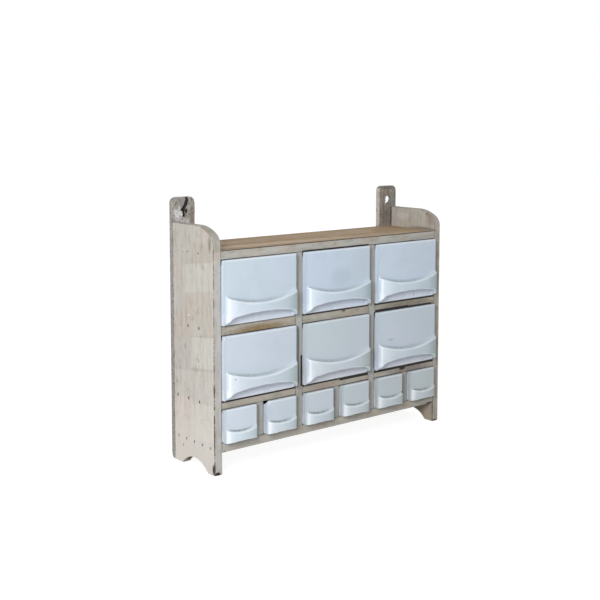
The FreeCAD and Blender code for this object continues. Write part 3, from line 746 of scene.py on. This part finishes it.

# The marks of each board. Blocks, gap shadows with the arris line, and scuffs fill a box between
# two corners; spots and hole shadows have a centre and a reach along each axis. Blocks and spots
# have a shade of their own. The last number is the strength of a mark. Gap and hole shadows are
# painted shadow.
MARKS = {
    "left_side": {
        "blocks": [
            ((-FAR, -FAR, -FAR), (LEFT_SKIN, FAR, 0.19), tint(194, 190, 184), 0.7),
            ((-FAR, 0.0116, 0.394), (LEFT_SKIN, FAR, 0.48), tint(177, 173, 165), 0.5),
            ((-FAR, -FAR, 0.3966), (LEFT_SKIN, 0.0116, 0.439), tint(178, 171, 163), 0.8),
            ((-FAR, -FAR, 0.3417), (LEFT_SKIN, 0.030, 0.3966), tint(191, 189, 182), 0.8),
            ((-FAR, -FAR, 0.2585), (LEFT_SKIN, 0.0164, 0.3415), tint(184, 179, 171), 0.8),
            ((-FAR, -FAR, 0.1955), (LEFT_SKIN, 0.012, 0.2550), tint(196, 194, 187), 0.8),
            ((-FAR, -FAR, 0.055), (LEFT_SKIN, 0.010, 0.126), tint(203, 200, 192), 0.6),
            ((-FAR, 0.012, -FAR), (LEFT_SKIN, FAR, 0.136), tint(203, 193, 186), 0.7),
            ((-FAR, -FAR, -FAR), (-0.2838, -0.0645, 0.40), tint(182, 182, 179), 0.9),
            ((LEFT_SKIN, -FAR, 0.415), (-0.2838, STRAP_FRONT, FAR), tint(160, 158, 149), 0.8),
        ],
        "spots": [
            ((LEFT_FACE, 0.0, 0.0), (0.004, 0.3, 0.15), tint(205, 200, 193), 0.65),
            ((LEFT_FACE, 0.020, 0.2955), (0.003, 0.0045, 0.002), tint(222, 221, 216), 1.0),
            ((LEFT_FACE, -0.0615, 0.012), (0.005, 0.0055, 0.013), FOOT_DARK, 1.5),
            ((-0.294, FRONT, 0.003), (0.0085, 0.006, 0.0045), FOOT_DARK, 1.6),
            ((LEFT_FACE, -0.054, 0.438), (0.006, 0.007, 0.022), tint(128, 122, 106), 0.9),
            ((-0.290, -0.043, 0.455), (0.008, 0.014, 0.014), tint(138, 134, 120), 0.8),
            ((LEFT_FACE, 0.0427, 0.0359), (0.004, 0.0014, 0.0045), RUST, 1.1),
            ((-0.2915, 0.035, 0.012), (0.0083, 0.014, 0.014), tint(92, 78, 70), 1.2),
        ] + [
            ((LEFT_FACE, depth, height), NAIL_SPREAD, RUST, rust)
            for height, row in NAIL_STAINS for depth, rust in row
        ],
        # Painted shadow in the broken front corner of the foot.
        "holes": [((-0.2935, FRONT, 0.0035), (0.0065, 0.006, 0.0042))],
        "scuffs": [
            ((-FAR, -FAR, 0.012), (LEFT_SKIN, FRONT_SKIN, 0.180), 1.1),
            ((-FAR, -FAR, 0.16), (LEFT_SKIN, -0.0634, 0.26), 0.8),
            ((-FAR, -FAR, 0.25), (LEFT_SKIN, -0.0636, 0.43), 0.5),
            ((-FAR, 0.0718, 0.01), (LEFT_SKIN, FAR, 0.466), 0.9),
        ],
    },
    "right_side": {
        "spots": [
            ((RIGHT_INNER, -0.042, 0.461), (0.004, 0.007, 0.007), tint(108, 88, 72), 0.8),
            ((RIGHT_INNER, -0.051, 0.450), (0.004, 0.003, 0.010), tint(120, 90, 80), 0.8),
            # Painted shadow where the strap meets the side.
            ((RIGHT_INNER, STRAP_FRONT, 0.450), (0.006, 0.007, 0.050), tint(70, 60, 66), 1.2),
            ((RIGHT_INNER, -0.030, 0.427), (0.01, 0.06, 0.007), tint(112, 104, 98), 0.9),
            ((RIGHT_INNER, 0.035, 0.452), (0.01, 0.03, 0.012), tint(184, 180, 178), 0.7),
            ((RIGHT_INNER, -0.052, 0.452), (0.01, 0.020, 0.026), tint(138, 128, 116), 0.8),
            ((RIGHT_INNER, -0.045, 0.02), (0.004, 0.05, 0.04), tint(150, 136, 116), 0.7),
            ((0.289, FRONT, 0.0), (0.01, 0.006, 0.006), FOOT_DARK, 1.2),
        ],
        "scuffs": [((0.2815, -FAR, 0.0), (0.2845, FRONT_SKIN, 0.060), 0.9)],
    },
    "top_board": {
        # Painted shadow above the middle drawer, and a worn dark arris under the top face.
        "gap_shadows_and_arrises": [
            gap_shadow_and_arris(*MIDDLE_COLUMN, 0.4075, 0.4112, 2.0),
            gap_shadow_and_arris(LEFT_INNER, RIGHT_INNER, 0.4248, 0.4264, 1.0),
        ],
    },
    "upper_shelf": {
        "spots": [
            ((-0.195, FRONT, 0.2695), (0.085, 0.012, 0.0125), tint(132, 112, 78), 1.0),
            # Painted shade under the right drawers.
            ((0.2, FRONT, 0.274), (0.1, 0.012, 0.013), tint(126, 118, 104), 0.9),
            ((0.020, FRONT, 0.279), (0.008, 0.004, 0.003), DARK_DIRT, 0.9),
        ],
        # Painted shadow above and below the drawers.
        "gap_shadows_and_arrises": [
            gap_shadow_and_arris(*LEFT_COLUMN, 0.2814, OVER_UPPER_SHELF, 0.35),
            gap_shadow_and_arris(*MIDDLE_COLUMN, 0.2811, OVER_UPPER_SHELF, 1.4),
            gap_shadow_and_arris(*RIGHT_COLUMN, 0.2806, OVER_UPPER_SHELF, 1.6),
            gap_shadow_and_arris(0.108, 0.275, 0.2650, 0.2688, 2.0),
            gap_shadow_and_arris(0.108, 0.205, 0.2650, 0.2706, 2.0),
        ],
    },
    "lower_shelf": {
        "spots": [
            ((-0.03, FRONT, 0.131), (0.06, 0.012, 0.010), tint(158, 140, 128), 0.7),
            # Painted shade under the right drawers.
            ((0.21, FRONT, 0.131), (0.08, 0.012, 0.011), tint(128, 116, 108), 0.9),
        ],
        # Painted shadow in the notch of the front edge.
        "holes": [((0.1885, -0.064, 0.1352), (0.0115, 0.008, 0.0052))],
        # Painted shadow above and below the drawers.
        "gap_shadows_and_arrises": [
            gap_shadow_and_arris(*LEFT_COLUMN, 0.1380, OVER_LOWER_SHELF, 1.5),
            gap_shadow_and_arris(-0.0885, 0.020, 0.1380, OVER_LOWER_SHELF, 1.6),
            gap_shadow_and_arris(0.010, 0.0885, 0.1354, OVER_LOWER_SHELF, 2.0),
            gap_shadow_and_arris(*RIGHT_COLUMN, 0.1362, OVER_LOWER_SHELF, 2.0),
        ],
    },
    "bottom_board": {
        "spots": [
            # Painted shadow in a nail hole and a chip.
            ((-0.278, FRONT, 0.043), (0.004, 0.004, 0.0025), HOLE_SHADOW, 1.3),
            ((0.2725, -0.066, 0.0446), (0.015, 0.006, 0.0022), HOLE_SHADOW, 1.4),
        ],
    },
    "divider_left": {
        # Painted shadow beside the drawers.
        "gap_shadows_and_arrises": [
            gap_shadow_and_arris(-0.1065, -0.0968, 0.1480, 0.262, 0.5),
            gap_shadow_and_arris(-0.0932, -0.0880, 0.1405, 0.203, 2.0),
        ],
    },
    # Painted shadow beside the drawers.
    "divider_right": {"gap_shadows_and_arrises": [gap_shadow_and_arris(0.1040, 0.1065, 0.1480, 0.266, 1.5)]},
    # Painted shadow beside a small drawer.
    "small_divider_left": {"gap_shadows_and_arrises": [gap_shadow_and_arris(-0.187, -0.185, 0.06, 0.122, 1.1)]},
    "hanging_strap_left": {
        "mottling": 0.7,
        "spots": [
            ((LEFT_FACE, 0.0795, 0.25), (0.003, 0.02, 0.42), tint(138, 137, 132), 1.0),
            ((-0.287, STRAP_FRONT, 0.486), (0.014, 0.006, 0.020), WHITE_WASH, 0.9),
            ((-0.270, STRAP_FRONT, 0.470), (0.016, 0.006, 0.008), WHITE_WASH, 0.7),
            ((-0.278, STRAP_FRONT, 0.509), (0.022, 0.006, 0.011), tint(137, 136, 133), 1.1),
            ((-0.290, STRAP_FRONT, 0.500), (0.006, 0.006, 0.012), tint(130, 122, 112), 0.8),
            ((-0.254, STRAP_FRONT, 0.485), (0.008, 0.006, 0.028), tint(128, 114, 98), 0.9),
            # Painted shadow in the hanging hole and its tear.
            ((-0.2688, 0.0735, 0.4905), (0.0052, 0.005, 0.0058), HOLE_SHADOW, TEAR_STRENGTH),
            ((-0.2785, 0.0735, 0.4930), (0.0035, 0.005, 0.0035), HOLE_SHADOW, TEAR_STRENGTH),
        ] + [
            ((across, TEAR_DEPTH, height), TEAR_SPREAD, HOLE_SHADOW, TEAR_STRENGTH)
            for across, height in TEAR
        ],
    },
    "hanging_strap_right": {
        "mottling": 0.5,
        "spots": [
            # Painted light on the strap's left face.
            ((0.248, 0.0795, 0.47), (0.003, 0.02, 0.30), PAINTED_LIGHT_SIDE, 1.0),
            ((0.274, STRAP_FRONT, 0.446), (0.022, 0.006, 0.030), tint(120, 112, 108), 0.7),
            ((0.262, STRAP_FRONT, 0.465), (0.0035, 0.006, 0.048), tint(98, 90, 82), 0.6),
            ((0.286, STRAP_FRONT, 0.468), (0.010, 0.006, 0.032), tint(126, 122, 118), 0.6),
            ((0.274, STRAP_FRONT, 0.513), (0.026, 0.006, 0.006), tint(96, 92, 86), 0.7),
            # Painted shadow in the hanging hole.
            ((0.2755, 0.080, 0.496), (0.006, 0.005, 0.004), HOLE_SHADOW, 1.8),
        ],
    },
}

# Tone of the wash, direction of the grain, and wear.
BOARDS = {
    "left_side": (SIDE_TONE, ALONG_Z, 0.25),
    "right_side": ((172, 167, 159), ALONG_Z, 0.35),
    "top_board": ((176, 174, 167), ALONG_X, 0.35),
    "upper_shelf": (RAIL_TONE, ALONG_X, 0.4),
    "lower_shelf": (RAIL_TONE, ALONG_X, 0.35),
    "bottom_board": ((174, 171, 162), ALONG_X, 0.3),
    "divider_left": (POST_TONE, ALONG_Z, 0.2),
    "divider_right": (POST_TONE, ALONG_Z, 0.2),
    "small_divider_left": (POST_TONE, ALONG_Z, 0.2),
    "small_divider_middle": (POST_TONE, ALONG_Z, 0.2),
    "small_divider_right": (POST_TONE, ALONG_Z, 0.2),
    "hanging_strap_left": ((162, 160, 157), ALONG_Z, 0.8),
    "hanging_strap_right": ((144, 140, 133), ALONG_Z, 0.8),
}
# The height above which a board is bare, oiled wood, and the tone of that wood.
CROWNS = {"top_board": (0.4265, (188, 168, 142))}
# Where arrises stay sharp, around the hanging holes: centre and reach.
SPARED = {
    "hanging_strap_left": [(Vector((-0.272, 0.079, 0.497)), 0.0265)],
    "hanging_strap_right": [(Vector((0.273, 0.079, 0.484)), 0.02)],
}
# Where arrises are worn more: centre, reach and amount.
DENTS = {
    "left_side": [
        (Vector((LEFT_FACE, FRONT, 0.12)), 0.17, 0.9),
        (Vector((LEFT_FACE, FRONT, 0.36)), 0.08, 0.8),
        (Vector((LEFT_FACE, FRONT, 0.005)), 0.014, 2.5),
    ],
    "lower_shelf": [(Vector((0.19, FRONT, 0.1405)), 0.010, 5.0)],
    "bottom_board": [(Vector((0.2725, FRONT, 0.0425)), 0.010, 2.5)],
    "hanging_strap_left": [(Vector((LEFT_FACE, 0.085, 0.0)), 0.012, 3.0)],
}

# ---------------------------------------------------------------- how the drawers are glazed

# The first drawer of a size gives the form of all.
# Each drawer's tone, partly its own glaze and partly painted shade: the small drawers darken
# towards the right.
GLAZE_TONES_AND_SHADE = {
    "large": {
        "upper_drawer_left": (199, 211, 226),
        "upper_drawer_middle": (196, 209, 225),
        "upper_drawer_right": (200, 213, 228),
        "lower_drawer_left": (199, 209, 223),
        "lower_drawer_middle": (195, 204, 216),
        "lower_drawer_right": (196, 206, 219),
    },
    "small": {
        "small_drawer_1": (203, 214, 226),
        "small_drawer_2": (199, 209, 220),
        "small_drawer_3": (196, 205, 215),
        "small_drawer_4": (193, 202, 211),
        "small_drawer_5": (190, 199, 207),
        "small_drawer_6": (190, 198, 206),
    },
}
# Spots in the glaze: centre, reach along each axis, shade and strength.
GLAZE_MARKS = {
    "upper_drawer_middle": [
        # Painted shade in the middle of the plate.
        ((0.004, -0.075, 0.352), (0.038, 0.012, 0.024), tint(178, 192, 208), 0.5),
    ],
    "upper_drawer_right": [
        ((0.2206, -0.066, 0.2937), (0.0008, 0.01, 0.009), tint(104, 106, 116), 0.9),
    ],
    "lower_drawer_left": [
        ((-0.2635, -0.079, 0.184), (0.0022, 0.012, 0.0022), tint(84, 84, 86), 0.8),
    ],
    "lower_drawer_right": [
        ((0.145, -0.075, 0.204), (0.012, 0.010, 0.004), tint(156, 165, 174), 0.5),
    ],
    "small_drawer_5": [
        ((0.1795, -0.075, 0.0846), (0.0044, 0.014, 0.0044), tint(52, 60, 54), 1.0),
    ],
}
# Painted shade in the crease of the pull, for each size.
CREASE_PAINTED_SHADES = {"large": (158, 170, 175), "small": (108, 118, 121)}
# Painted shade on each drawer's right rim, deeper on some drawers.
RIM_PAINTED_SHADE = (104, 108, 100)
RIM_PAINTED_SHADES = {
    "lower_drawer_middle": (34, 32, 30),
    "small_drawer_3": (60, 60, 56),
    "small_drawer_5": (66, 66, 62),
}
CHIPPED = "small_drawer_2"
# A point of the break, and the direction in which the corner is gone.
CHIP = (Vector((-0.185, -0.07, 0.1175)), Vector((-0.58, 0, 0.81)))

# ---------------------------------------------------------------- the cabinet

# Steps between the seeds of one piece and the next, so that no two have the same pattern.
WASH_SEED, WEAR_SEED, GLAZE_SEED = 5.0, 3.0, 7.0
FIRST_GLAZE_SEED = 5.0
BACK_SEED = 50.0
NAILS_WASHED_ABOVE = 0.39

place_camera()
hang_window()
paint_room()
lay_floor()

for number, (node, (tone, grain, wear)) in enumerate(BOARDS.items(), start=1):
    finish = limewashed(node + "_limewash", tone, grain, number * WASH_SEED, wear,
                        MARKS.get(node, {}), CROWNS.get(node))
    worn_board(node, finish, number * WEAR_SEED, DENTS.get(node, ()), SPARED.get(node, ()))
worn_board("back_panel", bare_boards("back_boards"), BACK_SEED)

bare_nails = rusty_iron("nail_rust")
washed_nails = rusty_iron("left_nail_rust", NAILS_WASHED_ABOVE)
for node in ("side_nails_left", "side_nails_right", "strap_nails", "back_nails"):
    finish = washed_nails if node == "side_nails_left" else bare_nails
    bpy.data.objects[node].material_slots[0].material = finish

for size, tones in GLAZE_TONES_AND_SHADE.items():
    first = next(iter(tones))
    form = cast_form(first, size)
    for number, (node, tone) in enumerate(tones.items()):
        seed = FIRST_GLAZE_SEED + GLAZE_SEED * number
        rim, spots = RIM_PAINTED_SHADES.get(node, RIM_PAINTED_SHADE), GLAZE_MARKS.get(node, ())
        finish = glazed(node + "_glaze", tone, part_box(node), seed, CREASE_PAINTED_SHADES[size], rim, spots)
        if node == CHIPPED:
            place_drawer(node, cast_form(node, size, CHIP), node, finish)
        else:
            place_drawer(node, form, first, finish)
